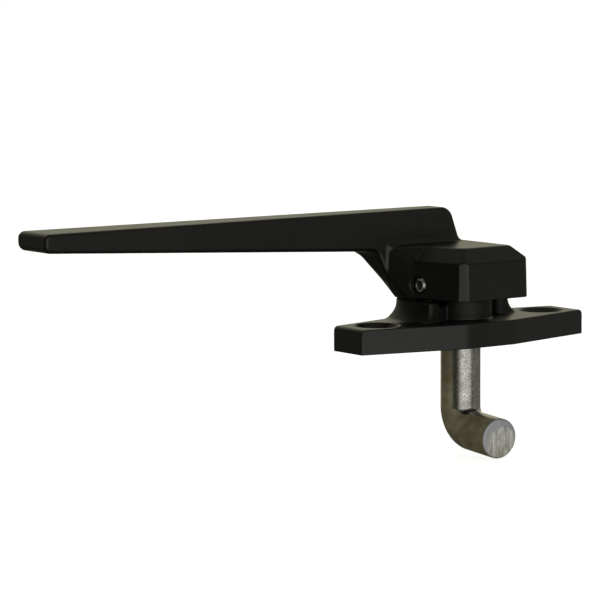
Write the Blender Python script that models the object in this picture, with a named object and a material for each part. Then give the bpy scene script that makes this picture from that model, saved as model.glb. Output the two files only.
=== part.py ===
"""Sash lift handle: a die-cast lever on a pedestal plate, with a cranked 10 mm spindle.

Frame: the origin is on the spindle's axis at the mounting face, the underside of the plate. +Z points
towards the lever and +X runs along the plate. The lever points to -X and the crank pin to -Y.
Lengths are in metres, and angles about the spindle are in degrees from +X towards +Y.
"""

import math

import bmesh
import bpy
from mathutils import Matrix, Vector

MM = 0.001
GAP = 0.3 * MM  # clearance between pieces that touch or turn on each other

# Base plate: a flat elongated hexagon, well rounded over at its two ends
PLATE_HALF_LENGTH = 35.4 * MM
PLATE_HALF_WIDTH = 12.0 * MM
PLATE_END_HALF_WIDTH = 5.65 * MM
PLATE_FLAT_HALF_LENGTH = 7.2 * MM
PLATE_THICKNESS = 6.2 * MM
PLATE_EDGE_RADIUS = 0.4 * MM
PLATE_END_RADIUS = 1.3 * MM

# Screw holes, for a 5 mm countersunk screw
HOLE_OFFSET = 26.3 * MM
HOLE_RADIUS = 3.0 * MM
COUNTERSINK_RADIUS = 5.75 * MM

# Pedestal: two curved walls with flared feet, a centre neck and two stop ribs between them
WALL_RADIUS = 16.0 * MM
FOOT_RADIUS = 18.0 * MM
CHANNEL_RADIUS = 11.4 * MM
WALL_TOP = 11.2 * MM
NECK_RADIUS = 7.8 * MM
NECK_TOP = 11.25 * MM
RIB_TOP = 9.9 * MM
LEFT_WALL = (128, 205)
RIGHT_WALL = (-2, 52)
LEFT_RIB = (179, 205)
RIGHT_RIB = (8, 27)
BUSH_BORE_RADIUS = 6.5 * MM
RECESS_RADIUS = 10.0 * MM
RECESS_DEPTH = 5.2 * MM

# Spindle: round bar, bent a little short of square
SPINDLE_RADIUS = 5.0 * MM
SPINDLE_TOP = 21.2 * MM
PIN_DEPTH = 21.6 * MM
PIN_REACH = 16.9 * MM
PIN_TURN = -4.5
PIN_DROOP = 3
BEND_RADIUS = 5.8 * MM
GROOVE = (0.7 * MM, 2.25 * MM)
GROOVE_RADIUS = 4.5 * MM

# Hub: a chamfered block with one slanted side and an undercut far corner
HUB_BOTTOM = 11.6 * MM
HUB_TOP = 24.55 * MM
HUB_RIGHT = 11.3 * MM
HUB_NEAR = 12.75 * MM
HUB_FAR = 12.5 * MM
HUB_LEFT = 9.55 * MM
HUB_SLANT = 16
HUB_CHAMFER = 3.4 * MM
HUB_CORNER = 1.15 * MM
HUB_LEFT_CORNER = 0.92 * MM
HUB_DRAFT = 0.018
HUB_EDGE_RADIUS = 0.6 * MM
HUB_BORE_RADIUS = SPINDLE_RADIUS + GAP
HUB_BORE_TOP = 21.6 * MM
UNDERCUT_ANGLE = 143.8
UNDERCUT_SUPPORT = 16.3 * MM
UNDERCUT_RISE = 0.83

# Lever: level on top, rising underneath towards the tip, and wider at the tip
LEVER_TOP = 33.3 * MM
LEVER_TIP = 117.4 * MM
LEVER_ROOT = 23.0 * MM
LEVER_TIP_BOTTOM = 28.85 * MM
LEVER_ROOT_BOTTOM = 23.5 * MM
LEVER_NEAR_ROOT = 7.0 * MM
LEVER_NEAR_TIP = 5.1 * MM
LEVER_FAR_ROOT = 14.5 * MM
LEVER_FAR_TIP = 18.0 * MM
LEVER_EDGE_RADIUS = 0.8 * MM
LEVER_FILLET = 1.7 * MM

# Set screw: M4 with a hex socket
SCREW_RADIUS = 2.0 * MM
SCREW_HEIGHT = 15.15 * MM
SCREW_TIP = 4.9 * MM
SCREW_END = 12.9 * MM
SOCKET_ACROSS_FLATS = 2.0 * MM
SOCKET_DEPTH = 2.3 * MM

# Stop lug under the hub: it meets the right rib at rest and the left rib after a quarter turn
LUG = (29, 87)
LUG_BOTTOM = 7.4 * MM
SKIRT = (82, 177)  # a shallow ring under the hub beyond the lug, which clears the ribs
SKIRT_BOTTOM = 10.3 * MM

# Bearing pieces on the spindle
FLANGE_RADIUS = 8.5 * MM
FLANGE_BOTTOM = 4.2 * MM
THRUST_WASHER_RADIUS = 9.2 * MM
THRUST_WASHER_BOTTOM = 3.2 * MM

CIRCLE_STEPS = 48
ARC_STEP = 5  # degrees between the points of a curved wall
WELD = 0.004 * MM

COLOURS = {
    "black_coat": ((0.017, 0.017, 0.016), 0.55, 0.0),
    "zinc_steel": ((0.42, 0.41, 0.37), 0.38, 1.0),
    "bright_screw": ((0.55, 0.55, 0.53), 0.3, 1.0),
    "acetal": ((0.75, 0.74, 0.68), 0.5, 0.0),
    "spring_steel": ((0.3, 0.3, 0.31), 0.35, 1.0),
}


# ---------------------------------------------------------------- helpers


def polar(radius, degrees):
    angle = math.radians(degrees)
    return radius * math.cos(angle), radius * math.sin(angle)


def material(name):
    """The Principled material of that name, made on first use."""
    if name not in bpy.data.materials:
        colour, roughness, metallic = COLOURS[name]
        made = bpy.data.materials.new(name)
        made.use_nodes = True
        shader = made.node_tree.nodes["Principled BSDF"]
        shader.inputs["Base Color"].default_value = (*colour, 1.0)
        shader.inputs["Roughness"].default_value = roughness
        shader.inputs["Metallic"].default_value = metallic
    return bpy.data.materials[name]


def add_object(name, shape, coat):
    """An object in the scene from a bmesh, which is freed."""
    bmesh.ops.recalc_face_normals(shape, faces=shape.faces)
    mesh = bpy.data.meshes.new(name)
    shape.to_mesh(mesh)
    shape.free()
    piece = bpy.data.objects.new(name, mesh)
    bpy.context.scene.collection.objects.link(piece)
    mesh.materials.append(material(coat))
    return piece


def combine(piece, tool, operation):
    """A Boolean of the piece with the tool, applied and welded. The tool is removed."""
    modifier = piece.modifiers.new(operation.lower(), "BOOLEAN")
    modifier.operation = operation
    modifier.solver = "EXACT"
    modifier.object = tool
    graph = bpy.context.evaluated_depsgraph_get()
    mesh = bpy.data.meshes.new_from_object(piece.evaluated_get(graph))
    piece.modifiers.clear()
    shape = bmesh.new()
    shape.from_mesh(mesh)
    bmesh.ops.remove_doubles(shape, verts=shape.verts, dist=WELD)
    bmesh.ops.dissolve_degenerate(shape, edges=shape.edges, dist=WELD)
    shape.to_mesh(mesh)
    shape.free()
    piece.data = mesh
    bpy.data.objects.remove(tool, do_unlink=True)


def unite(piece, *tools):
    for tool in tools:
        combine(piece, tool, "UNION")


def cut(piece, *tools):
    for tool in tools:
        combine(piece, tool, "DIFFERENCE")


def finish(piece):
    """Smooth shading with sharp edges kept."""
    piece.data.shade_smooth()
    piece.data.set_sharp_from_angle(angle=math.radians(30))


def slice_off(shape, point, normal):
    """What lies beyond the plane is cut away and the cut is closed."""
    whole = shape.verts[:] + shape.edges[:] + shape.faces[:]
    result = bmesh.ops.bisect_plane(
        shape, geom=whole, plane_co=point, plane_no=normal, clear_outer=True
    )
    edges = [item for item in result["geom_cut"] if isinstance(item, bmesh.types.BMEdge)]
    bmesh.ops.holes_fill(shape, edges=edges)


def convex(planes):
    """The solid inside all planes, each a point and an outward normal."""
    shape = bmesh.new()
    bmesh.ops.create_cube(shape, size=400 * MM)
    for point, normal in planes:
        slice_off(shape, Vector(point), Vector(normal).normalized())
    return shape


def prism(outline, low, high, along="Z"):
    """An outline of (u, v) points, extruded along Z, or along Y with u as X and v as Z."""
    shape = bmesh.new()
    if along == "Z":
        corners = [(u, v, low) for u, v in outline]
        travel = (0, 0, high - low)
    else:
        corners = [(u, low, v) for u, v in outline]
        travel = (0, high - low, 0)
    face = shape.faces.new([shape.verts.new(corner) for corner in corners])
    side = bmesh.ops.extrude_face_region(shape, geom=[face])
    moved = [item for item in side["geom"] if isinstance(item, bmesh.types.BMVert)]
    bmesh.ops.translate(shape, vec=travel, verts=moved)
    return shape


def turned(profile, steps=CIRCLE_STEPS):
    """A closed (radius, z) profile turned about Z."""
    shape = bmesh.new()
    rings = []
    for radius, height in profile:
        if radius == 0:
            rings.append([shape.verts.new((0, 0, height))] * steps)
            continue
        angles = [360 * step / steps for step in range(steps)]
        rings.append([shape.verts.new((*polar(radius, angle), height)) for angle in angles])
    for ring, following in zip(rings, rings[1:] + rings[:1]):
        for step in range(steps):
            after = (step + 1) % steps
            corners = [ring[step], ring[after], following[after], following[step]]
            distinct = list(dict.fromkeys(corners))
            if len(distinct) > 2:
                shape.faces.new(distinct)
    return shape


def arc_angles(start, end):
    count = max(1, round((end - start) / ARC_STEP))
    return [start + (end - start) * step / count for step in range(count + 1)]


def ring_sector(span, inner, outer_profile, bottom):
    """A curved wall over a span of angles. outer_profile is (radius, z) points going up."""
    start, end = span
    section = [(inner, outer_profile[-1][1]), (inner, bottom), (outer_profile[0][0], bottom)]
    section += outer_profile
    shape = bmesh.new()
    sections = []
    for angle in arc_angles(start, end):
        sections.append([shape.verts.new((*polar(radius, angle), z)) for radius, z in section])
    for one, following in zip(sections, sections[1:]):
        for index in range(len(section)):
            after = (index + 1) % len(section)
            shape.faces.new([one[index], one[after], following[after], following[index]])
    shape.faces.new(sections[0])
    shape.faces.new(sections[-1])
    return shape


def cylinder(radius, low, high, centre=(0, 0)):
    shape = turned([(0, low), (radius, low), (radius, high), (0, high)])
    bmesh.ops.translate(shape, vec=(*centre, 0), verts=shape.verts)
    return shape


def rounded_outline(corners):
    """Corners of (x, z, radius), each with a radius turned into an arc."""
    outline = []
    for index, (x, z, radius) in enumerate(corners):
        corner = Vector((x, z))
        if radius == 0:
            outline.append(corner[:])
            continue
        before = (Vector(corners[index - 1][:2]) - corner).normalized()
        after = (Vector(corners[(index + 1) % len(corners)][:2]) - corner).normalized()
        half_angle = before.angle(after) / 2
        reach = radius / math.tan(half_angle)
        centre = corner + (before + after).normalized() * (radius / math.sin(half_angle))
        first = corner + before * reach - centre
        turn = first.angle_signed(corner + after * reach - centre)
        for step in range(6):
            spoke = first.copy()
            spoke.rotate(Matrix.Rotation(-turn * step / 5, 2))
            outline.append((centre + spoke)[:])
    return outline


# ---------------------------------------------------------------- base plate


def plate_sides(inset=0.0):
    """The upright sides of the plate, moved inwards by inset: (point on the upper rim, normal)."""
    run = PLATE_HALF_LENGTH - PLATE_FLAT_HALF_LENGTH
    rise = PLATE_HALF_WIDTH - PLATE_END_HALF_WIDTH
    sides = []
    for side in (-1, 1):
        end_point = Vector((side * (PLATE_HALF_LENGTH - inset), 0, PLATE_THICKNESS))
        sides.append((end_point, Vector((side, 0, 0))))
        long_point = Vector((0, side * (PLATE_HALF_WIDTH - inset), PLATE_THICKNESS))
        sides.append((long_point, Vector((0, side, 0))))
        for end in (-1, 1):
            taper = Vector((end * rise, side * run, 0)).normalized()
            brow = Vector(
                (end * PLATE_FLAT_HALF_LENGTH, side * PLATE_HALF_WIDTH, PLATE_THICKNESS)
            )
            sides.append((brow - taper * inset, taper))
    return sides


def rounding_planes(point, side, top, radius):
    """Two planes that round the edge between a side and a top which meet at the point."""
    centre = point - (side + top) * (radius / (1 + side.dot(top)))
    planes = []
    for share in (0.33, 0.67):
        normal = (side * (1 - share) + top * share).normalized()
        planes.append((centre + normal * radius, normal))
    return planes


def plate_blank():
    """The flat hexagonal plate with its rounded upper edges."""
    up = Vector((0, 0, 1))
    planes = plate_sides()
    planes += [(Vector((0, 0, 0)), -up), (Vector((0, 0, PLATE_THICKNESS)), up)]
    for point, normal in plate_sides():
        radius = PLATE_END_RADIUS if abs(normal.x) > 0.99 else PLATE_EDGE_RADIUS
        planes += rounding_planes(point, normal, up, radius)
    return convex(planes)


def flare_profile():
    """The wall's outer side from its foot to its top: a concave sweep, then straight up."""
    points = []
    for step in range(7):
        rise = step / 6
        radius = WALL_RADIUS + (FOOT_RADIUS - WALL_RADIUS) * (1 - rise) ** 3
        points.append((radius, PLATE_THICKNESS - GAP + (WALL_TOP - PLATE_THICKNESS + GAP) * rise))
    return points


def build_base_plate():
    buried = 3 * MM
    plate = add_object("base_plate", plate_blank(), "black_coat")
    for name, span in (("left_wall", LEFT_WALL), ("right_wall", RIGHT_WALL)):
        wall = ring_sector(span, CHANNEL_RADIUS, flare_profile(), buried)
        wall_object = add_object(name, wall, "black_coat")
        limits = convex(plate_sides(GAP))
        combine(wall_object, add_object("wall_limits", limits, "black_coat"), "INTERSECT")
        unite(plate, wall_object)
    for name, span in (("left_rib", LEFT_RIB), ("right_rib", RIGHT_RIB)):
        inner = (BUSH_BORE_RADIUS + NECK_RADIUS) / 2
        outer = (CHANNEL_RADIUS + WALL_RADIUS) / 2
        rib = ring_sector(span, inner, [(outer, RIB_TOP)], buried)
        unite(plate, add_object(name, rib, "black_coat"))
    unite(plate, add_object("neck", cylinder(NECK_RADIUS, buried, NECK_TOP), "black_coat"))
    beyond = 20 * MM
    bore = turned(
        [
            (0, -MM),
            (RECESS_RADIUS, -MM),
            (RECESS_RADIUS, RECESS_DEPTH),
            (BUSH_BORE_RADIUS, RECESS_DEPTH),
            (BUSH_BORE_RADIUS, beyond),
            (0, beyond),
        ]
    )
    cut(plate, add_object("bush_bore", bore, "black_coat"))
    for end in (-1, 1):
        cut(plate, add_object("screw_hole", screw_hole(end * HOLE_OFFSET), "black_coat"))
    finish(plate)
    return plate


def screw_hole(x):
    """A countersunk through hole whose 90 degree cone opens to full size at the plate's surface."""
    throat = PLATE_THICKNESS - (COUNTERSINK_RADIUS - HOLE_RADIUS)
    over = 2 * MM
    profile = [
        (0, -MM),
        (HOLE_RADIUS, -MM),
        (HOLE_RADIUS, throat),
        (COUNTERSINK_RADIUS + over, PLATE_THICKNESS + over),
        (0, PLATE_THICKNESS + over),
    ]
    shape = turned(profile, steps=40)
    bmesh.ops.translate(shape, vec=(x, 0, 0), verts=shape.verts)
    return shape


# ---------------------------------------------------------------- handle


def hub_block():
    """The hub: drafted sides, 45 degree top chamfers, one slanted side, an undercut corner."""
    slant = math.radians(HUB_SLANT)
    left_corner = Vector((-HUB_LEFT, -HUB_NEAR, HUB_TOP - HUB_CHAMFER))
    left_normal = Vector((-math.cos(slant), -math.sin(slant), 0))
    chamfer_drop = Vector((0, 0, HUB_CHAMFER))
    draft = Vector((0, 0, HUB_DRAFT))
    sides = [
        (Vector((HUB_RIGHT, 0, left_corner.z)), Vector((1, 0, 0))),
        (Vector((0, -HUB_NEAR, left_corner.z)), Vector((0, -1, 0))),
        (left_corner, left_normal),
        (Vector((0, HUB_FAR, left_corner.z)), Vector((0, 1, 0))),
    ]
    up = Vector((0, 0, 1))
    planes = [((0, 0, HUB_TOP), up), ((0, 0, HUB_BOTTOM), -up)]
    planes += [(point, normal + draft) for point, normal in sides]
    for point, normal in sides[:3]:
        planes.append((point - normal * HUB_CHAMFER + chamfer_drop, normal + up))
    right_corner = Vector((HUB_RIGHT - HUB_CORNER, -HUB_NEAR, left_corner.z))
    planes.append((right_corner, Vector((1, -1, 0)) + draft))
    near_left = left_normal + Vector((0, -1, 0))
    planes.append((left_corner - near_left.normalized() * HUB_LEFT_CORNER, near_left + draft))
    planes.append(undercut_plane())
    shape = convex(planes)
    bmesh.ops.bevel(
        shape, geom=shape.edges[:], offset=HUB_EDGE_RADIUS, segments=2, affect="EDGES"
    )
    return shape


def undercut_plane():
    """The sloping facet that takes away the hub's lower far left corner and the neck's."""
    away = Vector((*polar(1, UNDERCUT_ANGLE), 0))
    point = away * UNDERCUT_SUPPORT + Vector((0, 0, HUB_BOTTOM))
    return point, away - Vector((0, 0, UNDERCUT_RISE))


def lever_bar():
    """The lever: a side profile taken across, tapered from the root, with its edges rounded."""
    rise = (LEVER_TIP_BOTTOM - LEVER_ROOT_BOTTOM) / (LEVER_TIP - LEVER_ROOT)
    foot_x = 7.05 * MM
    corners = [
        (-LEVER_TIP, LEVER_TIP_BOTTOM, 1.4 * MM),
        (foot_x, LEVER_ROOT_BOTTOM - rise * (foot_x + LEVER_ROOT), 0),
        (2.65 * MM, LEVER_TOP, 2.6 * MM),
        (-LEVER_TIP, LEVER_TOP, 1.4 * MM),
    ]
    shape = prism(rounded_outline(corners), 0, 30 * MM, along="Y")
    hub_side = -8 * MM
    run = LEVER_TIP + hub_side
    near_normal = Vector((LEVER_NEAR_ROOT - LEVER_NEAR_TIP, -run, 0)).normalized()
    far_normal = Vector((LEVER_FAR_TIP - LEVER_FAR_ROOT, run, 0)).normalized()
    slice_off(shape, Vector((hub_side, LEVER_NEAR_ROOT, 0)), near_normal)
    slice_off(shape, Vector((hub_side, LEVER_FAR_ROOT, 0)), far_normal)
    sharp = [edge for edge in shape.edges if edge.calc_face_angle() > math.radians(40)]
    bmesh.ops.bevel(shape, geom=sharp, offset=LEVER_EDGE_RADIUS, segments=2, affect="EDGES")
    return shape


def lever_neck():
    """The web that slants down from the lever's root to the foot of the hub's left side."""
    low = HUB_BOTTOM + 0.6 * MM
    high = 27 * MM
    outline = [
        (-24.2 * MM, 25.1 * MM),
        (-22.1 * MM, 23.4 * MM),
        (-20.7 * MM, 22.0 * MM),
        (-19.8 * MM, 20.7 * MM),
        (-15.5 * MM, low),
        (3 * MM, low),
        (3 * MM, high),
        (-24.2 * MM, high),
    ]
    shape = prism(outline, LEVER_NEAR_ROOT + 0.1 * MM, LEVER_FAR_ROOT - 0.2 * MM, along="Y")
    back = Vector((0, 1, -0.35)).normalized()
    slice_off(shape, Vector((0, HUB_FAR, HUB_BOTTOM)), back)
    point, normal = undercut_plane()
    slice_off(shape, point, normal.normalized())
    return shape


def lever_fillet():
    """The concave fillet where the lever's near side stands on the hub's top."""
    radius = LEVER_FILLET
    buried = 0.5 * MM
    outline = [(radius + buried, -buried), (0.1 * MM, -buried)]
    for step in range(7):
        across, up = polar(radius, 90 * step / 6)
        outline.append((across, radius - up))
    outline = outline[:2] + [point for point in reversed(outline[2:])]
    outline.append((radius + buried, radius))
    shape = prism(outline, -12.9 * MM, 4.6 * MM)
    turn = Matrix(((0, 0, 1), (1, 0, 0), (0, 1, 0))).to_4x4()
    shift = Matrix.Translation((0, LEVER_NEAR_ROOT - radius, HUB_TOP))
    bmesh.ops.transform(shape, matrix=shift @ turn, verts=shape.verts)
    return shape


def build_handle():
    handle = add_object("handle", hub_block(), "black_coat")
    for name, shape in (("neck", lever_neck()), ("lever", lever_bar()), ("fillet", lever_fillet())):
        unite(handle, add_object(name, shape, "black_coat"))
    lug_in = NECK_RADIUS + 0.6 * MM
    lug_out = CHANNEL_RADIUS - GAP
    buried = HUB_BOTTOM + 2 * MM
    lug = ring_sector(LUG, lug_in, [(lug_out, buried)], LUG_BOTTOM)
    unite(handle, add_object("lug", lug, "black_coat"))
    inset = 0.1 * MM
    skirt = ring_sector(SKIRT, lug_in + inset, [(lug_out - inset, buried + inset)], SKIRT_BOTTOM)
    unite(handle, add_object("skirt", skirt, "black_coat"))
    below = HUB_BOTTOM - MM
    cut(handle, add_object("bore", cylinder(HUB_BORE_RADIUS, below, HUB_BORE_TOP), "black_coat"))
    thread = cylinder(SCREW_RADIUS + GAP, SPINDLE_RADIUS - MM, 30 * MM)
    lay_towards_left(thread)
    cut(handle, add_object("screw_thread", thread, "black_coat"))
    finish(handle)
    return handle


# ---------------------------------------------------------------- spindle and screw


def lay_towards_left(shape):
    """A shape made along +Z is laid along -X at the set screw's height."""
    turn = Matrix.Rotation(math.radians(-90), 4, "Y")
    place = Matrix.Translation((0, 0, SCREW_HEIGHT)) @ turn
    bmesh.ops.transform(shape, matrix=place, verts=shape.verts)


def spindle_stations():
    """(centre, direction, radius) down the bar, round the bend and out along the crank pin."""
    down = Vector((0, 0, -1))
    level = Vector((*polar(1, 270 + PIN_TURN), 0))
    chamfer = 0.7 * MM
    straight = [
        (SPINDLE_TOP, SPINDLE_RADIUS - chamfer),
        (SPINDLE_TOP - chamfer, SPINDLE_RADIUS),
        (GROOVE[1], SPINDLE_RADIUS),
        (GROOVE[1], GROOVE_RADIUS),
        (GROOVE[0], GROOVE_RADIUS),
        (GROOVE[0], SPINDLE_RADIUS),
    ]
    stations = [(Vector((0, 0, z)), down, radius) for z, radius in straight]
    bend = math.radians(90 - PIN_DROOP)
    centre = level * BEND_RADIUS + Vector((0, 0, BEND_RADIUS - PIN_DEPTH))
    for step in range(11):
        angle = bend * step / 10
        direction = down * math.cos(angle) + level * math.sin(angle)
        outward = down * math.sin(angle) - level * math.cos(angle)
        stations.append((centre + outward * BEND_RADIUS, direction, SPINDLE_RADIUS))
    bend_end, direction, _ = stations[-1]
    tip = bend_end + direction * (PIN_REACH - bend_end.dot(level))
    stations.append((tip - direction * 0.5 * MM, direction, SPINDLE_RADIUS))
    stations.append((tip, direction, SPINDLE_RADIUS - 0.5 * MM))
    return stations


def build_spindle():
    """A round bar swept along its stations, with a dimple for the set screw."""
    shape = bmesh.new()
    sideways = Vector((*polar(1, PIN_TURN), 0))
    steps = 40
    rings = []
    for centre, direction, radius in spindle_stations():
        across = direction.cross(sideways)
        ring = []
        for step in range(steps):
            angle = 2 * math.pi * step / steps
            spoke = sideways * math.cos(angle) + across * math.sin(angle)
            ring.append(shape.verts.new(centre + spoke * radius))
        rings.append(ring)
    for ring, following in zip(rings, rings[1:]):
        for step in range(steps):
            after = (step + 1) % steps
            shape.faces.new([ring[step], ring[after], following[after], following[step]])
    shape.faces.new(rings[0])
    shape.faces.new(rings[-1])
    spindle = add_object("spindle", shape, "zinc_steel")
    dimple = cylinder(1.3 * MM, SPINDLE_RADIUS - 0.6 * MM, SPINDLE_RADIUS + 2 * MM)
    lay_towards_left(dimple)
    cut(spindle, add_object("dimple", dimple, "zinc_steel"))
    finish(spindle)
    return spindle


def build_set_screw():
    point = SCREW_TIP + 1.2 * MM
    bevel = 0.35 * MM
    profile = [
        (0, SCREW_TIP),
        (0.8 * MM, SCREW_TIP),
        (SCREW_RADIUS, point),
        (SCREW_RADIUS, SCREW_END - bevel),
        (SCREW_RADIUS - bevel, SCREW_END),
        (0, SCREW_END),
    ]
    shape = turned(profile, steps=32)
    lay_towards_left(shape)
    screw = add_object("set_screw", shape, "bright_screw")
    corner = SOCKET_ACROSS_FLATS / math.sqrt(3)
    hexagon = [polar(corner, 60 * step) for step in range(6)]
    socket = prism(hexagon, SCREW_END - SOCKET_DEPTH, SCREW_END + MM)
    lay_towards_left(socket)
    cut(screw, add_object("socket", socket, "bright_screw"))
    finish(screw)
    return screw


# ---------------------------------------------------------------- pieces on the spindle


def build_bearing_bush():
    """A sleeve pressed up the neck's bore from below, with its flange in the recess."""
    inner = SPINDLE_RADIUS + GAP
    outer = BUSH_BORE_RADIUS - GAP
    flange_top = RECESS_DEPTH - GAP
    profile = [
        (inner, FLANGE_BOTTOM),
        (FLANGE_RADIUS, FLANGE_BOTTOM),
        (FLANGE_RADIUS, flange_top),
        (outer, flange_top),
        (outer, NECK_TOP),
        (inner, NECK_TOP),
    ]
    bush = add_object("bearing_bush", turned(profile), "acetal")
    finish(bush)
    return bush


def build_thrust_washer():
    inner = SPINDLE_RADIUS + 0.4 * MM
    high = FLANGE_BOTTOM - GAP
    profile = [
        (inner, THRUST_WASHER_BOTTOM),
        (THRUST_WASHER_RADIUS, THRUST_WASHER_BOTTOM),
        (THRUST_WASHER_RADIUS, high),
        (inner, high),
    ]
    washer = add_object("thrust_washer", turned(profile), "zinc_steel")
    finish(washer)
    return washer


def build_wave_washer():
    """A thin ring whose height follows three waves round its circle."""
    inner, outer = 5.6 * MM, 8.8 * MM
    middle, swing, half_thickness = 2.62 * MM, 0.12 * MM, 0.18 * MM
    profile = [
        (inner, middle - half_thickness),
        (outer, middle - half_thickness),
        (outer, middle + half_thickness),
        (inner, middle + half_thickness),
    ]
    shape = turned(profile, steps=72)
    for vert in shape.verts:
        vert.co.z += swing * math.cos(3 * math.atan2(vert.co.y, vert.co.x))
    washer = add_object("wave_washer", shape, "spring_steel")
    finish(washer)
    return washer


def build_retaining_ring():
    """An external snap ring: open on one side, with a drilled ear at each end."""
    inner = GROOVE_RADIUS + GAP
    outer = 6.9 * MM
    ear = 8.1 * MM
    low, high = GROOVE[0] + GAP, GROOVE[1] - GAP
    opening, ear_end, shoulder = 20, 42, 50
    outline = [polar(inner, angle) for angle in arc_angles(opening, 360 - opening)]
    outline += [polar(ear, 360 - angle) for angle in arc_angles(opening, ear_end)]
    outline += [polar(outer, 360 - angle) for angle in arc_angles(shoulder, 360 - shoulder)]
    outline += [polar(ear, -angle) for angle in arc_angles(-ear_end, -opening)]
    ring = add_object("retaining_ring", prism(outline, low, high), "spring_steel")
    for side in (-1, 1):
        hole = cylinder(0.65 * MM, low - MM, high + MM, polar(6.5 * MM, side * 31))
        cut(ring, add_object("ear_hole", hole, "spring_steel"))
    finish(ring)
    return ring


# ---------------------------------------------------------------- assembly


def build():
    for old in list(bpy.data.objects):
        bpy.data.objects.remove(old, do_unlink=True)
    build_base_plate()
    build_bearing_bush()
    build_thrust_washer()
    build_wave_washer()
    crank = bpy.data.objects.new("crank_axis", None)
    bpy.context.scene.collection.objects.link(crank)
    for piece in (build_handle(), build_spindle(), build_set_screw(), build_retaining_ring()):
        piece.parent = crank


build()
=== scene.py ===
import math

import bmesh
import bpy
import numpy as np
from mathutils import Matrix, Vector


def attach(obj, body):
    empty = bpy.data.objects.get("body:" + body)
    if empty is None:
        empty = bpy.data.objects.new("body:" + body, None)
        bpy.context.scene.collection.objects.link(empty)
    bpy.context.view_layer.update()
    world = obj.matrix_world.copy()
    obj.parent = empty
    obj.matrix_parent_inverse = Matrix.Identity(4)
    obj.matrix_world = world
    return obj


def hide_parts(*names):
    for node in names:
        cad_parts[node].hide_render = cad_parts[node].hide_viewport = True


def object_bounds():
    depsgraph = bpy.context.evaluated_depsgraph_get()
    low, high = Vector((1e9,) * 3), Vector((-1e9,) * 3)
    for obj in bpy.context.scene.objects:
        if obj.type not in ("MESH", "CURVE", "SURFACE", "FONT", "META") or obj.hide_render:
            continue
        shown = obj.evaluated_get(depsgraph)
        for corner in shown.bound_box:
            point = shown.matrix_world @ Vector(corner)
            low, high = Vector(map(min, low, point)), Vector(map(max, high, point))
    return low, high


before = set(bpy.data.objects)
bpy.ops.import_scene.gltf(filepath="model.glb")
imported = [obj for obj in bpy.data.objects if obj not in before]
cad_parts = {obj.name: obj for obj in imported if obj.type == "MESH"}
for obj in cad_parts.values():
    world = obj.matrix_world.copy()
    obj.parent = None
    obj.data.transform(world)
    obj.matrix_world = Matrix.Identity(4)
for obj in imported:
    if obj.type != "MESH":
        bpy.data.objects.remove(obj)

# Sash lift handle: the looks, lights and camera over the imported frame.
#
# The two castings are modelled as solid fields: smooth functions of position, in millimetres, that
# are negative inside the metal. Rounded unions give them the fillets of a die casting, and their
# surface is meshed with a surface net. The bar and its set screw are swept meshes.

MM = 0.001
CAD_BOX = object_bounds()

# ---------------------------------------------------------------- sizes, in millimetres

# Base plate and pedestal. Plate lengths and widths are half sizes
PLATE_LENGTH, PLATE_WIDTH = 35.4, 12.0
PLATE_END, PLATE_FLAT = 5.65, 7.2  # width at the ends, length of the parallel middle
PLATE_TOP, PLATE_END_ROUND = 6.2, 1.3
HOLE_X, HOLE_R, SINK_R = 26.3, 3.0, 5.75
WALL_TOP, WALL_R, FOOT_R, CHANNEL_R = 11.2, 16.0, 18.8, 11.4
NECK_R, NECK_TOP, RIB_TOP = 7.8, 11.25, 9.9
RECESS_R, RECESS_DEPTH, BORE_R = 10.0, 5.2, 6.5
ROOT = 3  # the height inside the plate at which walls, neck and ribs start

# Spans about the spindle, in degrees from +X towards +Y
LEFT_WALL, RIGHT_WALL = (128, 205), (-2, 52)
LEFT_RIB, RIGHT_RIB = (179, 205), (8, 27)
LUG, SKIRT = (29, 87), (82, 177)

# Hub and lever. A plane is a point and a normal
HUB_BOTTOM, HUB_TOP = 11.6, 24.55
HUB_RIGHT, HUB_NEAR, HUB_FAR, HUB_LEFT = 11.3, 12.75, 12.3, 9.55
HUB_CHAMFER, HUB_SLANT, HUB_DRAFT = 3.65, math.radians(16), 0.018
HUB_BEVEL, HUB_HIP = 0.92, 0.4  # how far the bevel cuts in, and the facet above it comes out
HUB_BORE_R, HUB_BORE_TOP = 5.3, 21.6
LUG_IN, LUG_OUT, LUG_BOTTOM, SKIRT_BOTTOM = 8.4, 11.1, 7.4, 10.3
LUG_ROOT = 14  # the height inside the hub at which lug and skirt end
LEVER_TOP, LEVER_TIP = 33.3, 117.35
UNDERSIDE = ((-23, 0, 23.48), (-0.0569, 0, -1))
WEB = ((-15.11, 0, 11.6), (-2.01, 0, -1))
UNDERCUT_TURN = math.radians(143.8)

# Spindle and set screw
BAR_R, BEND_R, PIN_DEPTH, PIN_REACH = 5.0, 5.8, 21.6, 16.9
PIN_TURN, PIN_DROOP = -4.5, 3.0  # degrees from -Y, and below level
GROOVE_END = 0.65  # the lower rim of the ring's groove
TIP_ROUND = 0.45
SIDES = 96
SCREW_Z, SCREW_R, SCREW_TIP, SCREW_END, PITCH = 15.15, 1.98, 4.9, 13.15, 0.7
SCREW_BORE_R, SOCKET_R = 2.03, 1.05


# ---------------------------------------------------------------- solid fields


def plane(p, point, normal):
    """Signed distance to a plane, positive on the side its normal points to."""
    length = math.sqrt(sum(c * c for c in normal))
    return sum((a - b) * (c / length) for a, b, c in zip(p, point, normal))


def meet(a, b, r=0.0):
    """Intersection, with the edge rounded to radius r."""
    corner = np.hypot(np.maximum(a + r, 0), np.maximum(b + r, 0))
    return np.minimum(np.maximum(a, b), -r) + corner


def join(a, b, r=0.0):
    """Union, with a fillet of radius r."""
    corner = np.hypot(np.maximum(r - a, 0), np.maximum(r - b, 0))
    return np.maximum(np.minimum(a, b), r) - corner


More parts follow.
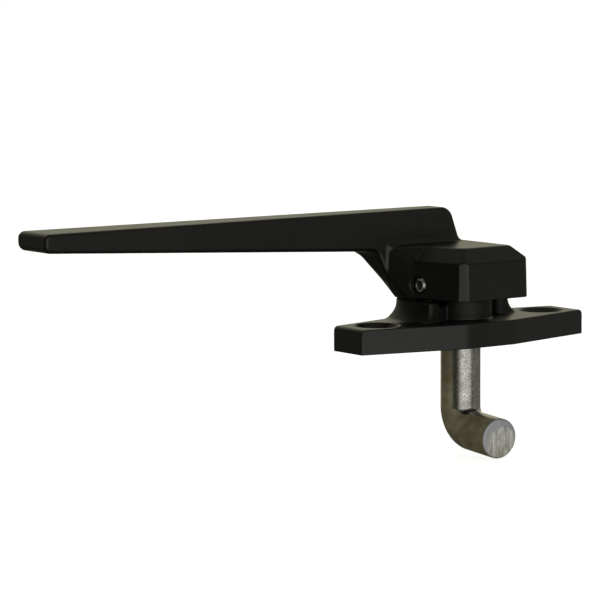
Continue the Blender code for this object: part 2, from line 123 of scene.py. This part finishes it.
def sector(p, start, end):
    """The wedge between two angles about Z, less than half a turn apart."""
    a, b = math.radians(start), math.radians(end)
    first = plane(p, (0, 0, 0), (math.sin(a), -math.cos(a), 0))
    last = plane(p, (0, 0, 0), (-math.sin(b), math.cos(b), 0))
    return np.maximum(first, last)


def hub_field(p):
    """The hub: drafted sides with chamfered top edges and a bevelled near left corner."""
    x, y, z = p
    slant = (-math.cos(HUB_SLANT), -math.sin(HUB_SLANT))
    brow = HUB_TOP - HUB_CHAMFER
    left_corner = (-HUB_LEFT, -HUB_NEAR, brow)
    right = ((HUB_RIGHT, 0, brow), (1, 0))
    near = ((0, -HUB_NEAR, brow), (0, -1))
    left = (left_corner, slant)
    right_side, near_side, left_side, far_side = (
        plane(p, point, (nx, ny, HUB_DRAFT))
        for point, (nx, ny) in (right, near, left, ((0, HUB_FAR, brow), (0, 1)))
    )
    body = meet(meet(right_side, near_side, 1.5), meet(left_side, far_side, 0.6), 0.2)
    nx, ny = slant[0], slant[1] - 1
    size = math.hypot(nx, ny)
    cut = (left_corner[0] - nx / size * HUB_BEVEL, left_corner[1] - ny / size * HUB_BEVEL, brow)
    above = (cut[0] + nx / size * HUB_HIP, cut[1] + ny / size * HUB_HIP, brow)
    hip = plane(p, above, (nx, ny, 2))
    body = meet(body, plane(p, cut, (nx, ny, HUB_DRAFT)), 0.25)
    top = z - HUB_TOP
    for ((px, py, _), (nx, ny)), share in ((near, 1.0), (right, 0.82), (left, 1.0)):
        width = share * HUB_CHAMFER
        inner = (px - nx * width, py - ny * width, HUB_TOP)
        top = meet(top, plane(p, inner, (nx, ny, 1)), 0.3)
    body = meet(body, meet(top, hip, 0.2), 0.3)
    return meet(body, HUB_BOTTOM - z, 0.3 + 1.1 * fade(x + y, 0, 14))


def cheek_field(p):
    """A gusset in the corner between the hub's left side and the lever, with a sloping brow."""
    x, y, z = p
    side = plane(p, (-18.0, 7, 20), (-0.805, -0.593, 0.018))
    brow = plane(p, (-12.05, 1.34, 22.38), (-0.477, -0.658, 0.582))
    body = meet(meet(side, brow, 0.7), z - HUB_TOP, 0.4)
    within_hub = np.maximum(y - 7.6, x + 7)
    return np.maximum(meet(body, plane(p, *WEB), 0.4), within_hub)


def fade(value, start, end):
    """Rises smoothly from 0 at start to 1 at end."""
    share = np.clip((value - start) / (end - start), 0, 1)
    return share * share * (3 - 2 * share)


def lever_field(p):
    """The lever: a side profile that holds the bar and its slanting web, cut by the long sides."""
    x, y, z = p
    tip = -x - LEVER_TIP
    underside = meet(plane(p, *UNDERSIDE), tip - 5)
    web = meet(plane(p, *WEB), z - 28)
    profile = join(underside, web, 0.8 + 0.38 * np.clip(y - 7, 0, 8))
    profile = meet(profile, z - LEVER_TOP)
    profile = meet(profile, tip, 1.7)
    heel = plane(p, (4.35, 0, 28.9), (0.93, 0, 0.368))
    profile = meet(profile, heel, 2.3)
    lower = np.clip((LEVER_TOP - z) / 8, 0, 1)
    near = plane(p, (-8, 7.0, 0), (0.01737, -1, 0))
    far = plane(p, (-8, 14.4, 0), (0.032, 1, 0))
    slope = plane(p, (0, 12.2, 11.6), (0, 1, -0.35))
    body = meet(profile, near, 0.75 + 0.35 * lower)
    return meet(body, meet(far, slope, 2.0), 1.0)


def handle_field(p):
    """Hub, gusset and lever, less the undercut far corner, with lug, skirt, bore and screw hole."""
    x, y, z = p
    hub = join(hub_field(p), cheek_field(p), 0.25)
    fillet = 0.5 + 0.9 * fade(z, 22.8, 25.0)
    body = join(hub, lever_field(p), fillet)
    away = (math.cos(UNDERCUT_TURN), math.sin(UNDERCUT_TURN))
    lower_cut = plane(p, (-15.11, 7, 11.6), (away[0], away[1], -0.773))
    upper_cut = plane(p, (-18.85, 11.5, 18.95), (away[0], away[1], -1.09))
    below_lever = plane(p, *UNDERSIDE) - 0.9
    body = meet(body, join(join(lower_cut, upper_cut, 1.0), below_lever, 1.0), 0.8)
    body = meet(body, HUB_BOTTOM - z, 0.3)
    radius = np.hypot(x, y)
    ring = np.maximum(radius - LUG_OUT, LUG_IN - radius)
    lug, skirt = (
        meet(meet(ring, sector(p, *span), 0.5), np.maximum(bottom - z, z - LUG_ROOT), 0.4)
        for span, bottom in ((LUG, LUG_BOTTOM), (SKIRT, SKIRT_BOTTOM))
    )
    body = join(body, np.minimum(lug, skirt), 0.4)
    bore = np.maximum(radius - HUB_BORE_R, z - HUB_BORE_TOP)
    body = meet(body, -bore, 0.35)
    thread = np.maximum(np.hypot(y, z - SCREW_Z) - SCREW_BORE_R, x + 4)
    return meet(body, -thread, 0.15)


def plate_field(p):
    """The plate with its pedestal walls, neck, ribs, bore, recess and screw holes."""
    x, y, z = p
    ax, ay = np.abs(x), np.abs(y)
    q = (ax, ay, z)
    run, rise = PLATE_LENGTH - PLATE_FLAT, PLATE_WIDTH - PLATE_END
    end = ax - PLATE_LENGTH
    flank = meet(plane(q, (PLATE_LENGTH, PLATE_END, 0), (rise, run, 0)), ay - PLATE_WIDTH, 0.2)
    outline = meet(end, flank, 0.3)
    plate = meet(meet(end, z - PLATE_TOP, PLATE_END_ROUND), flank, 0.3)
    radius = np.hypot(x, y)

    share = np.clip((z - PLATE_TOP) / (WALL_TOP - PLATE_TOP), 0, 1)
    outer = (radius - WALL_R - (FOOT_R - WALL_R) * (1 - share) ** 3) * 0.8
    inner = CHANNEL_R - radius
    for span, end_radius in ((LEFT_WALL, 1.2), (RIGHT_WALL, 2.0)):
        wall = meet(np.maximum(outer, inner), sector(p, *span), end_radius)
        wall = meet(wall, z - WALL_TOP, 0.35)
        wall = meet(wall, np.maximum(outline + 0.35, ROOT - z))
        plate = join(plate, wall, 0.45)
    neck = meet(radius - NECK_R, np.maximum(z - NECK_TOP, ROOT - z), 0.3)
    for span in (LEFT_RIB, RIGHT_RIB):
        rib = meet(sector(p, *span), np.maximum(radius - 13, 7 - radius), 0.3)
        rib = meet(rib, np.maximum(z - RIB_TOP, ROOT - z), 0.3)
        neck = join(neck, rib, 0.5)
    plate = join(plate, neck, 0.5)

    recess = np.minimum(np.maximum(radius - RECESS_R, z - RECESS_DEPTH), radius - BORE_R)
    plate = meet(plate, -recess, 0.2)
    hole = np.hypot(ax - HOLE_X, y)
    cone = (hole - SINK_R - (z - PLATE_TOP)) / math.sqrt(2)
    plate = meet(plate, -join(hole - HOLE_R, cone, 0.2), 0.12)
    return meet(plate, -z, 0.15)


# ---------------------------------------------------------------- meshing


def surface_net(field, axes):
    """Vertices and quads of the zero level of a field sampled on a rectilinear grid.

    Each cell that the surface crosses gets one vertex, the mean of the crossings on its edges, and
    each crossed edge gets a quad between the four cells around it.
    """
    values = field(np.meshgrid(*axes, indexing="ij"))
    cells = tuple(n - 1 for n in values.shape)
    total = np.zeros(cells + (3,))
    count = np.zeros(cells)
    crossings = []
    for axis in range(3):
        others = [other for other in range(3) if other != axis]
        low = np.take(values, range(values.shape[axis] - 1), axis)
        high = np.take(values, range(1, values.shape[axis]), axis)
        where = np.nonzero((low < 0) != (high < 0))
        share = low[where] / (low[where] - high[where])
        points = np.stack([axes[k][where[k]] for k in range(3)], 1)
        steps = np.diff(axes[axis])
        points[:, axis] += share * steps[where[axis]]
        around = []
        for shift in ((0, 0), (1, 0), (1, 1), (0, 1)):
            cell = [index.copy() for index in where]
            cell[others[0]] -= shift[0]
            cell[others[1]] -= shift[1]
            cell = tuple(cell)
            np.add.at(total, cell, points)
            np.add.at(count, cell, 1)
            around.append(cell)
        outward = low[where] < 0
        crossings.append((around, outward != (axis == 1)))
    used = np.nonzero(count)
    number = -np.ones(cells, dtype=np.int64)
    number[used] = np.arange(len(used[0]))
    points = total[used] / count[used][:, None]
    quads = []
    for around, outward in crossings:
        corners = np.stack([number[cell] for cell in around], 1)
        corners[~outward] = corners[~outward][:, ::-1]
        quads.append(corners)
    return points, np.concatenate(quads)


def gradient(field, points, step=0.02):
    """The field's slope at each point, by differences over two steps."""
    slopes = []
    for axis in range(3):
        shift = np.zeros(3)
        shift[axis] = step
        ahead, behind = field((points + shift).T), field((points - shift).T)
        slopes.append((ahead - behind) / (2 * step))
    return np.stack(slopes, 1)


def cast_mesh(name, field, axes):
    """A mesh of the field's surface, with its points and normals taken from the field."""
    flattest, longest = 0.25, 0.25  # the least squared slope and the longest step of a round
    points, quads = surface_net(field, axes)
    for _ in range(4):
        slope = gradient(field, points)
        size = np.maximum((slope**2).sum(1), flattest)
        step = field(points.T)[:, None] * slope / size[:, None]
        points = points - np.clip(step, -longest, longest)
    normals = gradient(field, points)
    normals /= np.maximum(np.linalg.norm(normals, axis=1), 1e-9)[:, None]
    mesh = bpy.data.meshes.new(name)
    mesh.vertices.add(len(points))
    mesh.vertices.foreach_set("co", (points * MM).astype(np.float32).ravel())
    mesh.loops.add(quads.size)
    mesh.loops.foreach_set("vertex_index", quads.astype(np.int32).ravel())
    mesh.polygons.add(len(quads))
    mesh.polygons.foreach_set("loop_start", np.arange(0, quads.size, 4, dtype=np.int32))
    mesh.update(calc_edges=True)
    mesh.validate()
    mesh.shade_smooth()
    mesh.normals_split_custom_set_from_vertices(normals.astype(np.float32))
    piece = bpy.data.objects.new(name, mesh)
    bpy.context.scene.collection.objects.link(piece)
    return piece


def spread(*stops):
    """Grid positions from (position, step) stops: each step holds until the next position."""
    values = []
    for (start, step), (end, _) in zip(stops, stops[1:]):
        count = max(1, round((end - start) / step))
        values += [start + (end - start) * k / count for k in range(count)]
    return np.array(values + [stops[-1][0]])


# ---------------------------------------------------------------- bar and screw


def link(name, shape):
    """An object in the scene from a bmesh, which is freed. Edges over 35 degrees stay sharp."""
    mesh = bpy.data.meshes.new(name)
    bmesh.ops.recalc_face_normals(shape, faces=shape.faces)
    shape.to_mesh(mesh)
    shape.free()
    mesh.shade_smooth()
    mesh.set_sharp_from_angle(angle=math.radians(35))
    piece = bpy.data.objects.new(name, mesh)
    bpy.context.scene.collection.objects.link(piece)
    return piece


def skin(shape, rings, close_start=True, close_end=True):
    """Quads between rings of vertices, with an optional cap at each end."""
    for one, two in zip(rings, rings[1:]):
        for k in range(len(one)):
            j = (k + 1) % len(one)
            shape.faces.new((one[k], one[j], two[j], two[k]))
    if close_start:
        shape.faces.new(rings[0])
    if close_end:
        shape.faces.new(rings[-1])


def bar_stations():
    """Centre, direction and radius along the bar, in millimetres."""
    turn = math.radians(270 + PIN_TURN)
    level = Vector((math.cos(turn), math.sin(turn), 0))
    down = Vector((0, 0, -1))
    # The bar's chamfered top, and the groove of the retaining ring
    stations = [(Vector((0, 0, z)), down, r) for z, r in (
        (21.2, 4.3), (20.5, 5.0), (12.0, 5.0), (2.3, 5.0), (2.25, 4.95), (2.25, 4.5),
        (0.7, 4.5), (0.7, 4.95), (GROOVE_END, 5.0))]
    straight = BEND_R - PIN_DEPTH
    for k in range(1, 24):
        z = GROOVE_END + (straight - GROOVE_END) * k / 24
        stations.append((Vector((0, 0, z)), down, BAR_R))
    centre = level * BEND_R + Vector((0, 0, straight))
    sweep = math.pi / 2 - math.radians(PIN_DROOP)
    for k in range(33):
        angle = sweep * k / 32
        direction = down * math.cos(angle) + level * math.sin(angle)
        outward = down * math.sin(angle) - level * math.cos(angle)
        stations.append((centre + outward * BEND_R, direction, BAR_R))
    start, direction, _ = stations[-1]
    length = PIN_REACH - start.dot(level)
    for share in np.linspace(0.15, 0.9, 6):
        stations.append((start + direction * length * share, direction, BAR_R))
    tip = start + direction * length
    for k in range(5):
        angle = math.pi / 2 * k / 4
        back, r = TIP_ROUND * (1 - math.sin(angle)), BAR_R - TIP_ROUND * (1 - math.cos(angle))
        stations.append((tip - direction * back, direction, r))
    return stations


def bar_ring(shape, centre, side, across, radius):
    """A ring of vertices about a centre, in the plane of the side and across directions."""
    ring = []
    for k in range(SIDES):
        angle = 2 * math.pi * k / SIDES
        spoke = side * math.cos(angle) + across * math.sin(angle)
        ring.append(shape.verts.new((centre(angle) + spoke * radius) * MM))
    return ring


def make_bar():
    """The bent bar, with a sheared end that is a little uneven."""
    stations = bar_stations()
    turn = math.radians(PIN_TURN)
    side = Vector((math.cos(turn), math.sin(turn), 0))
    shape = bmesh.new()
    rings = [
        bar_ring(shape, lambda angle, centre=centre: centre, side, direction.cross(side), radius)
        for centre, direction, radius in stations
    ]
    skin(shape, rings, close_end=False)
    tip, direction, rim = stations[-1]
    across = direction.cross(side)
    last = rings[-1]
    for share in (0.92, 0.8, 0.6, 0.4, 0.2):

        def sunk(angle, depth=0.05 * (1 - share)):
            return tip - direction * (depth * (1 + math.sin(3 * angle + 0.5)))

        ring = bar_ring(shape, sunk, side, across, rim * share)
        skin(shape, [last, ring], False, False)
        last = ring
    middle = shape.verts.new((tip - direction * 0.06) * MM)
    for k in range(SIDES):
        shape.faces.new((last[k], last[(k + 1) % SIDES], middle))
    return link("bent_bar", shape)


def make_set_screw():
    """M4 grub screw: rounded rim, thread rings and a hex socket with a lead-in chamfer."""
    shape = bmesh.new()

    def ring_at(position, radius_of):
        ring = []
        for k in range(SIDES):
            angle = 2 * math.pi * k / SIDES
            r = radius_of(angle)
            ring.append(shape.verts.new(Vector((-position, r * math.sin(angle),
                                                SCREW_Z + r * math.cos(angle))) * MM))
        return ring

    def hexagon(angle):
        within = (angle + math.pi / 6) % (math.pi / 3) - math.pi / 6
        return SOCKET_R / math.cos(within)

    crest, root = SCREW_R, SCREW_R - 0.3
    outline = [(SCREW_TIP, 0.7), (SCREW_TIP + 1.2, crest)]
    for k in range(8):
        start = SCREW_TIP + 1.3 + k * PITCH
        outline += [(start, crest), (start + 0.3, root), (start + 0.4, root)]
    outline += [(SCREW_END - 0.4, crest), (SCREW_END - 0.12, crest - 0.26),
                (SCREW_END, crest - 0.34)]
    rings = [ring_at(position, lambda angle, r=r: r) for position, r in outline]
    rings.append(ring_at(SCREW_END, lambda angle: max(1.28, hexagon(angle) + 0.08)))
    rings.append(ring_at(SCREW_END - 0.25, hexagon))
    rings.append(ring_at(SCREW_END - 2.2, hexagon))
    rings.append(ring_at(SCREW_END - 2.6, lambda angle: 0.3))
    skin(shape, rings)
    return link("grub_screw", shape)


# ---------------------------------------------------------------- materials


class Nodes:
    """Short ways to add and join shader nodes. Lengths in materials are in metres."""

    def __init__(self, name):
        self.material = bpy.data.materials.new(name)
        self.material.use_nodes = True
        self.tree = self.material.node_tree
        self.shader = self.tree.nodes["Principled BSDF"]

    def add(self, kind, **settings):
        node = self.tree.nodes.new(kind)
        for key, value in settings.items():
            setattr(node, key, value)
        return node

    def link(self, out, into):
        self.tree.links.new(out, into)

    def place(self, scale=(1, 1, 1), rotation=(0, 0, 0)):
        mapping = self.add("ShaderNodeMapping")
        mapping.inputs["Scale"].default_value = scale
        mapping.inputs["Rotation"].default_value = rotation
        self.link(self.add("ShaderNodeTexCoord").outputs["Object"], mapping.inputs["Vector"])
        return mapping.outputs["Vector"]

    def noise(self, scale, detail=3.0, roughness=0.5, place=None, distortion=0.0):
        node = self.add("ShaderNodeTexNoise")
        node.inputs["Scale"].default_value = scale
        node.inputs["Detail"].default_value = detail
        node.inputs["Roughness"].default_value = roughness
        node.inputs["Distortion"].default_value = distortion
        self.link(place or self.place(), node.inputs["Vector"])
        return node.outputs["Fac"]

    def ramp(self, value, *stops):
        """A colour ramp: stops are (position, grey or colour)."""
        node = self.add("ShaderNodeValToRGB")
        elements = node.color_ramp.elements
        for index, (position, colour) in enumerate(stops):
            if index < 2:
                element = elements[index]
                element.position = position
            else:
                element = elements.new(position)
            if not isinstance(colour, tuple):
                colour = (colour, colour, colour)
            element.color = (*colour, 1)
        self.link(value, node.inputs["Fac"])
        return node.outputs["Color"]

    def along(self, direction, low, high, full=1):
        """0 to full as the distance along a direction, in metres, goes from low to high."""
        dot = self.add("ShaderNodeVectorMath", operation="DOT_PRODUCT")
        dot.inputs[1].default_value = direction
        self.link(self.place(), dot.inputs[0])
        return self.span(dot.outputs["Value"], low, high, 0, full)

    def span(self, value, low, high, out_low, out_high):
        """The value, mapped from low..high to out_low..out_high and held there."""
        node = self.add("ShaderNodeMapRange")
        for name, number in zip(("From Min", "From Max", "To Min", "To Max"),
                                (low, high, out_low, out_high)):
            node.inputs[name].default_value = number
        self.link(value, node.inputs["Value"])
        return node.outputs["Result"]

    def mix(self, factor, first, second, blend="MIX"):
        node = self.add("ShaderNodeMix", data_type="RGBA", blend_type=blend)
        for value, socket in ((factor, node.inputs[0]), (first, node.inputs[6]),
                              (second, node.inputs[7])):
            if isinstance(value, bpy.types.NodeSocket):
                self.link(value, socket)
            else:
                socket.default_value = value if not isinstance(value, tuple) else (*value, 1)
        return node.outputs[2]

    def bump(self, height, distance, strength=1.0, under=None):
        node = self.add("ShaderNodeBump")
        node.inputs["Distance"].default_value = distance
        node.inputs["Strength"].default_value = strength
        self.link(height, node.inputs["Height"])
        if under is not None:
            self.link(under, node.inputs["Normal"])
        return node.outputs["Normal"]


def black_coat(name, pedestal_base=None):
    """Satin black powder coat: fine grain, a soft orange peel, faint rub marks and dust.

    Above pedestal_base, if it is given, the coat is rougher and its colour darker: painted shade
    for the pedestal's recess.
    """
    n = Nodes(name)
    n.shader.inputs["IOR"].default_value = 1.5
    n.shader.inputs["Specular IOR Level"].default_value = 0.4
    grain = n.noise(4200, 2, 0.6)
    peel = n.noise(900, 2, 0.5)
    cloud = n.noise(60, 4, 0.6)
    colour = n.ramp(cloud, (0.3, (0.0085, 0.0085, 0.0072)), (0.7, (0.0125, 0.0122, 0.0108)))
    mottle = n.ramp(n.noise(1500, 3, 0.7), (0.35, 0.75), (0.65, 1.3))
    colour = n.mix(1.0, colour, mottle, "MULTIPLY")
    rubs = n.ramp(n.noise(260, 5, 0.75, distortion=0.6), (0.60, 0.0), (0.72, 1.0))
    colour = n.mix(n.span(rubs, 0, 1, 0, 0.045), colour, (0.16, 0.155, 0.14))
    dust = n.ramp(n.noise(2600, 1, 0.5), (0.76, 0.0), (0.80, 1.0))
    colour = n.mix(n.span(dust, 0, 1, 0, 0.12), colour, (0.35, 0.34, 0.30))
    gloss = n.span(cloud, 0.3, 0.7, 0.30, 0.36)
    # Painted shade: above pedestal_base the colour is darkened for the pedestal's recess, and the
    # coat is made rougher.
    if pedestal_base is not None:
        height = n.add("ShaderNodeSeparateXYZ")
        n.link(n.place(), height.inputs["Vector"])
        painted_shade_and_dull = n.span(height.outputs["Z"], pedestal_base, pedestal_base + 0.0005, 0, 1)
        colour = n.mix(painted_shade_and_dull, colour, (0.004, 0.004, 0.003))
        gloss = n.mix(painted_shade_and_dull, gloss, (0.55, 0.55, 0.55))
    n.link(colour, n.shader.inputs["Base Color"])
    n.link(gloss, n.shader.inputs["Roughness"])
    normal = n.bump(grain, 0.000022, 0.8)
    normal = n.bump(peel, 0.00003, 0.5, normal)
    n.link(normal, n.shader.inputs["Normal"])
    return n.material


def bar_steel():
    """Zinc-plated bar: yellowed and dull on one side, pitted where bright, sheared at the end."""
    n = Nodes("plated_bar")
    along_bar = n.noise(1400, 4, 0.6, place=n.place((1, 1, 0.08)))
    cloud = n.noise(260, 5, 0.65)
    pits = n.ramp(n.noise(2300, 3, 0.7), (0.40, 0.45), (0.56, 1.0))
    colour = n.ramp(cloud, (0.3, (0.40, 0.39, 0.36)), (0.7, (0.62, 0.62, 0.60)))
    colour = n.mix(0.8, colour, pits, "MULTIPLY")
    colour = n.mix(0.25, colour, n.ramp(along_bar, (0.3, 0.4), (0.7, 1.0)), "MULTIPLY")
    gloss = n.span(cloud, 0.3, 0.7, 0.30, 0.20)

    # The stain: on the bar's left side, and all round the bend and the pin
    reach = n.add("ShaderNodeMath", operation="ADD")
    height = n.add("ShaderNodeSeparateXYZ")
    n.link(n.place(), height.inputs["Vector"])
    n.link(n.span(height.outputs["Z"], -0.0160, -0.0220, 0, 5), reach.inputs[0])
    leftwards = (-0.996, -0.087, 0)
    n.link(n.along(leftwards, 0.0, 0.005, 5), reach.inputs[1])
    stain = n.span(reach.outputs[0], 4.4, 4.75, 0, 1)
    patchy = n.ramp(n.noise(420, 4, 0.6), (0.3, 0.55), (0.6, 1.0))
    stain = n.mix(0.6, stain, patchy, "MULTIPLY")
    yellow = n.ramp(cloud, (0.35, (0.44, 0.37, 0.20)), (0.65, (0.76, 0.70, 0.47)))
    colour = n.mix(stain, colour, yellow)
    gloss = n.mix(stain, gloss, (0.6, 0.6, 0.6))
    n.link(n.span(stain, 0, 1, 1, 0.3), n.shader.inputs["Metallic"])

    # The end face: torn by the shears, but for a smooth crescent beside its rim
    turn, tip = math.radians(270 + PIN_TURN), PIN_REACH * MM
    end = n.along((math.cos(turn), math.sin(turn), 0), tip - 0.0004, tip - 0.0002)
    tears = n.noise(1500, 5, 0.7, place=n.place((1, 1, 0.12)), distortion=0.3)
    torn = n.ramp(tears, (0.36, (0.42, 0.41, 0.34)), (0.58, (0.95, 0.96, 0.93)))
    hollow = n.add("ShaderNodeVectorMath", operation="DISTANCE")
    n.link(n.place(), hollow.inputs[0])
    hollow.inputs[1].default_value = (bar_stations()[-1][0] + Vector((0.6, 0, -1.3))) * MM
    smooth = n.span(hollow.outputs["Value"], 0.0041, 0.0044, 0, 1)
    torn = n.mix(smooth, torn, (0.56, 0.58, 0.60))
    colour = n.mix(end, colour, torn)
    gloss = n.mix(end, gloss, (0.5, 0.5, 0.5))
    n.link(colour, n.shader.inputs["Base Color"])
    n.link(gloss, n.shader.inputs["Roughness"])
    normal = n.bump(along_bar, 0.00002, 0.5)
    normal = n.bump(n.noise(1900, 3, 0.7), 0.00005, 0.55, normal)
    n.link(normal, n.shader.inputs["Normal"])
    return n.material


def bright_steel(name, colour, roughness, scale):
    """Bare or plated steel with a cloudy finish."""
    n = Nodes(name)
    n.shader.inputs["Metallic"].default_value = 1.0
    cloud = n.noise(scale, 3, 0.6)
    dark = tuple(c * 0.7 for c in colour)
    n.link(n.ramp(cloud, (0.3, dark), (0.7, colour)), n.shader.inputs["Base Color"])
    n.link(n.span(cloud, 0.3, 0.7, roughness, roughness + 0.12), n.shader.inputs["Roughness"])
    n.link(n.bump(n.noise(scale * 4, 2), 0.00001, 0.4), n.shader.inputs["Normal"])
    return n.material


def acetal():
    """Natural acetal: off-white and slightly waxy."""
    n = Nodes("natural_acetal")
    cloud = n.noise(300, 3, 0.5)
    n.link(n.ramp(cloud, (0.3, (0.66, 0.65, 0.58)), (0.7, (0.74, 0.73, 0.67))),
           n.shader.inputs["Base Color"])
    n.link(n.span(cloud, 0.3, 0.7, 0.42, 0.52), n.shader.inputs["Roughness"])
    n.link(n.bump(n.noise(1800, 2), 0.00001, 0.4), n.shader.inputs["Normal"])
    return n.material


def coat(piece, material):
    piece.data.materials.clear()
    piece.data.materials.append(material)


# ---------------------------------------------------------------- pieces


def make_pieces():
    """The four visible pieces in place of their CAD nodes, and finishes for the hidden four."""
    fine = 0.3
    handle_axes = (
        spread((-118.1, fine), (-113.5, 1.2), (-29, fine), (12.6, fine)),
        spread((-13.6, fine), (18.7, fine)),
        spread((6.7, fine), (34.2, fine)),
    )
    handle = cast_mesh("cast_lever", handle_field, handle_axes)
    finest = fine - 0.1
    plate_axes = (
        spread((-36.0, finest), (36.0, finest)),
        spread((-12.6, finest), (12.6, finest)),
        spread((-0.6, finest), (11.9, finest)),
    )
    plate = cast_mesh("cast_plate", plate_field, plate_axes)
    bar = make_bar()
    screw = make_set_screw()

    coat(handle, black_coat("black_lever_coat"))
    # The plate's coat is darkened above its top: painted shade on the pedestal.
    coat(plate, black_coat("black_plate_coat", (PLATE_TOP + 0.25) * MM))
    coat(bar, bar_steel())
    coat(screw, bright_steel("bright_screw", (0.62, 0.62, 0.60), 0.25, 900))
    for piece, body, node, slot in (
        (handle, "crank", "handle", "black_coat"),
        (plate, "base", "base_plate", "black_coat"),
        (bar, "crank", "spindle", "bar_steel"),
        (screw, "crank", "set_screw", "screw_steel"),
    ):
        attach(piece, body)
        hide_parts(node)

    finishes = {
        "bearing_bush": acetal(),
        "thrust_washer": bright_steel("plated_washer", (0.50, 0.48, 0.42), 0.32, 500),
        "wave_washer": bright_steel("spring_strip", (0.34, 0.34, 0.36), 0.3, 700),
        "retaining_ring": bright_steel("oiled_ring", (0.20, 0.20, 0.21), 0.34, 700),
    }
    for name, material in finishes.items():
        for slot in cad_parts[name].material_slots:
            slot.material = material


# ---------------------------------------------------------------- camera, floor and light


def make_camera():
    """A long lens on the near left side, tilted a little downwards."""
    turn, tilt, roll = math.radians(36.179), math.radians(6.478), math.radians(0.275)
    right = Vector((math.cos(turn), -math.sin(turn), 0))
    forward = Vector((math.sin(turn) * math.cos(tilt), math.cos(turn) * math.cos(tilt),
                      -math.sin(tilt)))
    up = right.cross(forward)
    aside, distance, above = -40.022, 749.01, 10.686
    place = right * aside - forward * distance + up * above
    x_axis = right * math.cos(roll) - up * math.sin(roll)
    y_axis = right * math.sin(roll) + up * math.cos(roll)
    rows = Matrix((x_axis, y_axis, -forward)).transposed().to_4x4()
    rows.translation = place * MM
    data = bpy.data.cameras.new("camera")
    data.lens = 180
    data.sensor_width = 36
    data.clip_start = 0.05
    data.clip_end = 50
    camera = bpy.data.objects.new("camera", data)
    camera.matrix_world = rows
    bpy.context.scene.collection.objects.link(camera)
    bpy.context.scene.camera = camera


def make_floor():
    """A pale floor just under the bar, which the object neither reflects nor is lit by."""
    mesh = bpy.data.meshes.new("floor")
    low = CAD_BOX[0][2] - 0.0005
    half = 6.0  # metres
    corners = [(-half, -half, low), (half, -half, low), (half, half, low), (-half, half, low)]
    mesh.from_pydata(corners, [], [(0, 1, 2, 3)])
    floor = bpy.data.objects.new("floor", mesh)
    bpy.context.scene.collection.objects.link(floor)
    n = Nodes("pale_floor")
    n.link(n.ramp(n.noise(3, 2), (0.3, 0.86), (0.7, 0.9)), n.shader.inputs["Base Color"])
    n.shader.inputs["Roughness"].default_value = 1.0
    n.shader.inputs["Specular IOR Level"].default_value = 0.0
    n.shader.inputs["Emission Color"].default_value = (1, 1, 1, 1)
    n.shader.inputs["Emission Strength"].default_value = 0.88
    coat(floor, n.material)
    floor.visible_glossy = False
    floor.visible_diffuse = False


def make_light():
    """Soft studio surroundings: white for the camera, shaped softboxes for the object."""
    world = bpy.data.worlds.new("studio")
    bpy.context.scene.world = world
    world.use_nodes = True
    tree = world.node_tree
    nodes, links = tree.nodes, tree.links
    direction = nodes.new("ShaderNodeTexCoord").outputs["Generated"]

    def towards(aim, near, far, level, tint):
        """A soft patch of light: full within the near angle of its aim, none past the far one."""
        dot = nodes.new("ShaderNodeVectorMath")
        dot.operation = "DOT_PRODUCT"
        dot.inputs[1].default_value = Vector(aim).normalized()
        links.new(direction, dot.inputs[0])
        fade = nodes.new("ShaderNodeMapRange")
        fade.interpolation_type = "SMOOTHSTEP"
        fade.inputs["From Min"].default_value = math.cos(math.radians(far))
        fade.inputs["From Max"].default_value = math.cos(math.radians(near))
        fade.inputs["To Max"].default_value = level
        links.new(dot.outputs["Value"], fade.inputs["Value"])
        colour = nodes.new("ShaderNodeVectorMath")
        colour.operation = "SCALE"
        colour.inputs[0].default_value = tint
        links.new(fade.outputs["Result"], colour.inputs["Scale"])
        return colour.outputs["Vector"]

    # Each patch: its aim, near and far angles in degrees, level and tint
    warm, neutral, olive = (1.0, 0.97, 0.82), (1.0, 0.985, 0.955), (1.0, 0.98, 0.70)
    total = None
    ambient = tuple(0.06 * c for c in warm)
    for patch in (
        ((0.59, 0.81, 0.25), 18, 50, 0.46, olive),
        ((-0.59, 0.81, 0.0), 12, 36, 0.09, olive),
        ((-0.20, -0.98, 0.0), 22, 42, 1.12, neutral),
        ((0.3, 0.35, 0.85), 32, 64, 0.19, warm),
        ((0.9, -0.47, 0.0), 12, 50, 0.20, neutral),
    ):
        add = nodes.new("ShaderNodeVectorMath")
        links.new(towards(*patch), add.inputs[0])
        if total is None:
            add.inputs[1].default_value = ambient
        else:
            links.new(total, add.inputs[1])
        total = add.outputs["Vector"]

    around = nodes["Background"]
    links.new(total, around.inputs["Color"])
    backdrop = nodes.new("ShaderNodeBackground")
    backdrop.inputs["Color"].default_value = (1, 1, 1, 1)
    mix = nodes.new("ShaderNodeMixShader")
    links.new(nodes.new("ShaderNodeLightPath").outputs["Is Camera Ray"], mix.inputs[0])
    links.new(around.outputs[0], mix.inputs[1])
    links.new(backdrop.outputs[0], mix.inputs[2])
    links.new(mix.outputs[0], nodes["World Output"].inputs["Surface"])
    bpy.context.scene.view_settings.view_transform = "Standard"


make_camera()
make_floor()
make_light()
make_pieces()
